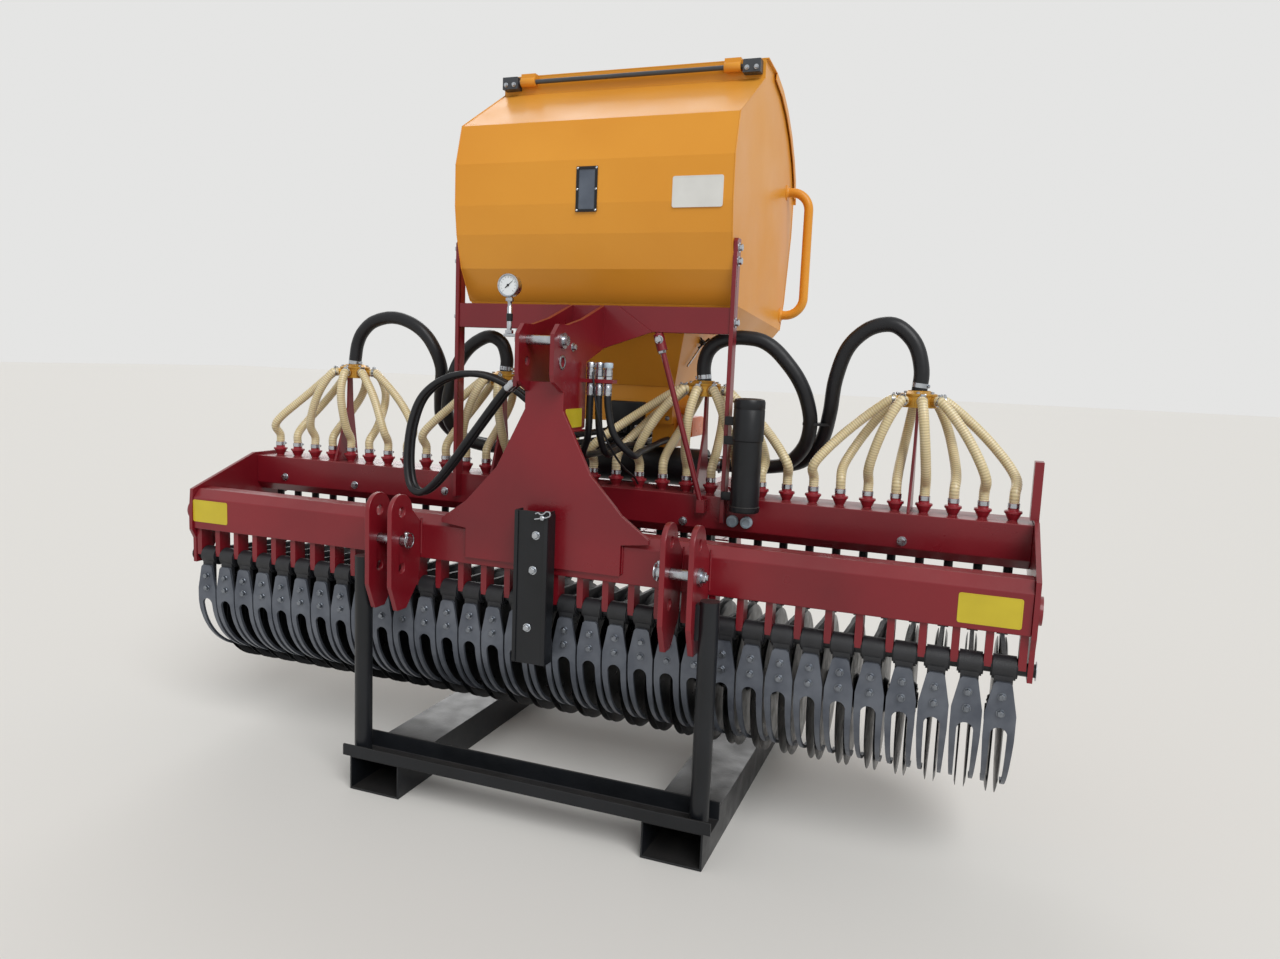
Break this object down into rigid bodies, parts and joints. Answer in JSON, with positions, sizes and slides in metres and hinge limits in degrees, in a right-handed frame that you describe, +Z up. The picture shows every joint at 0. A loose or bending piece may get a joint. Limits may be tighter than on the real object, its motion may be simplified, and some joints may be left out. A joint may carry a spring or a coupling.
{
  "type": "mounted pneumatic disc seed drill",
  "caption": "Rigid three-point mounted pneumatic seed drill with rows of double-disc coulters, hopper above, hoses to every row, parked on a storage skid.",
  "frame": {"origin": "middle of the footprint, on the floor under the skid", "axes": "+X to the machine's right as seen from the front (hitch) side, +Y to its rear, +Z up"},
  "size_m": [2.54, 1.185, 2.1615],
  "materials": {
    "red_paint": "gloss",
    "hopper_paint": "gloss",
    "steel": "zinc plated",
    "window": "smoked",
    "black_plastic": "matte",
    "black_paint": "satin",
    "head_metal": "satin",
    "spout_plastic": "gloss",
    "seed_hose": "ribbed, translucent",
    "black_rubber": "matte",
    "cap_plastic": "gloss",
    "arm_cast": "satin black",
    "fork_steel": "blued",
    "disc_steel": "dark, smooth"
  },
  "bodies": {
    "machine": {"front_beam": "red_paint", "rear_beam": "red_paint", "end_plates": "red_paint", "hitch_plates": "red_paint", "mast": "red_paint", "mast_ears": "red_paint", "hopper_posts": "red_paint", "hopper_crossbar": "red_paint", "hopper_strut": "red_paint", "carrier_arms": "red_paint", "step_sides": "red_paint", "step_treads": "red_paint", "head_brackets": "red_paint", "fins": "red_paint", "hopper_body": "hopper_paint", "hopper_funnel": "hopper_paint", "grab_handle": "hopper_paint", "metering_housing": "hopper_paint", "hitch_pins": "steel", "pressure_gauge": "steel", "sight_window": "window", "air_manifold": "black_plastic", "document_tube": "black_plastic", "seed_drops": "black_plastic", "fan_housing": "black_paint", "fan_motor": "black_paint", "arm_tube": "black_paint", "stand_guide": "black_paint", "skid_pockets": "black_paint", "skid_cross": "black_paint", "skid_props": "black_paint", "lid_hinge": "black_paint", "distributor_heads": "head_metal", "seed_spouts": "spout_plastic", "seed_hoses_left": "seed_hose", "seed_hoses_right": "seed_hose", "air_hoses": "black_rubber", "oil_hoses": "black_rubber", "coupling_caps": "cap_plastic", "coulter_arms": "arm_cast", "coulter_forks": "fork_steel"},
    "lid": {"hopper_lid": "hopper_paint"},
    "stand": {"parking_stand": "black_paint"},
    "discs": {"coulter_discs": "disc_steel"},
    "fan_wheel": {"fan_rotor": "steel"}
  },
  "joints": [
    {"name": "hopper_lid", "type": "hinge", "parent": "machine", "child": "lid", "pos_m": [0, 0.0445, 2.137], "axis": [1, 0, 0], "range_deg": [0, 75]},
    {"name": "stand_slide", "type": "slide", "parent": "machine", "child": "stand", "axis": [0, 0, -1], "range_m": [0, 0.25]},
    {"name": "disc_spin", "type": "hinge", "parent": "machine", "child": "discs", "pos_m": [0, -0.1775, 0.392], "axis": [1, 0, 0], "continuous": true},
    {"name": "fan_spin", "type": "hinge", "parent": "machine", "child": "fan_wheel", "pos_m": [-0.0375, 0.3225, 0.96], "axis": [0, 1, 0], "continuous": true}
  ]
}
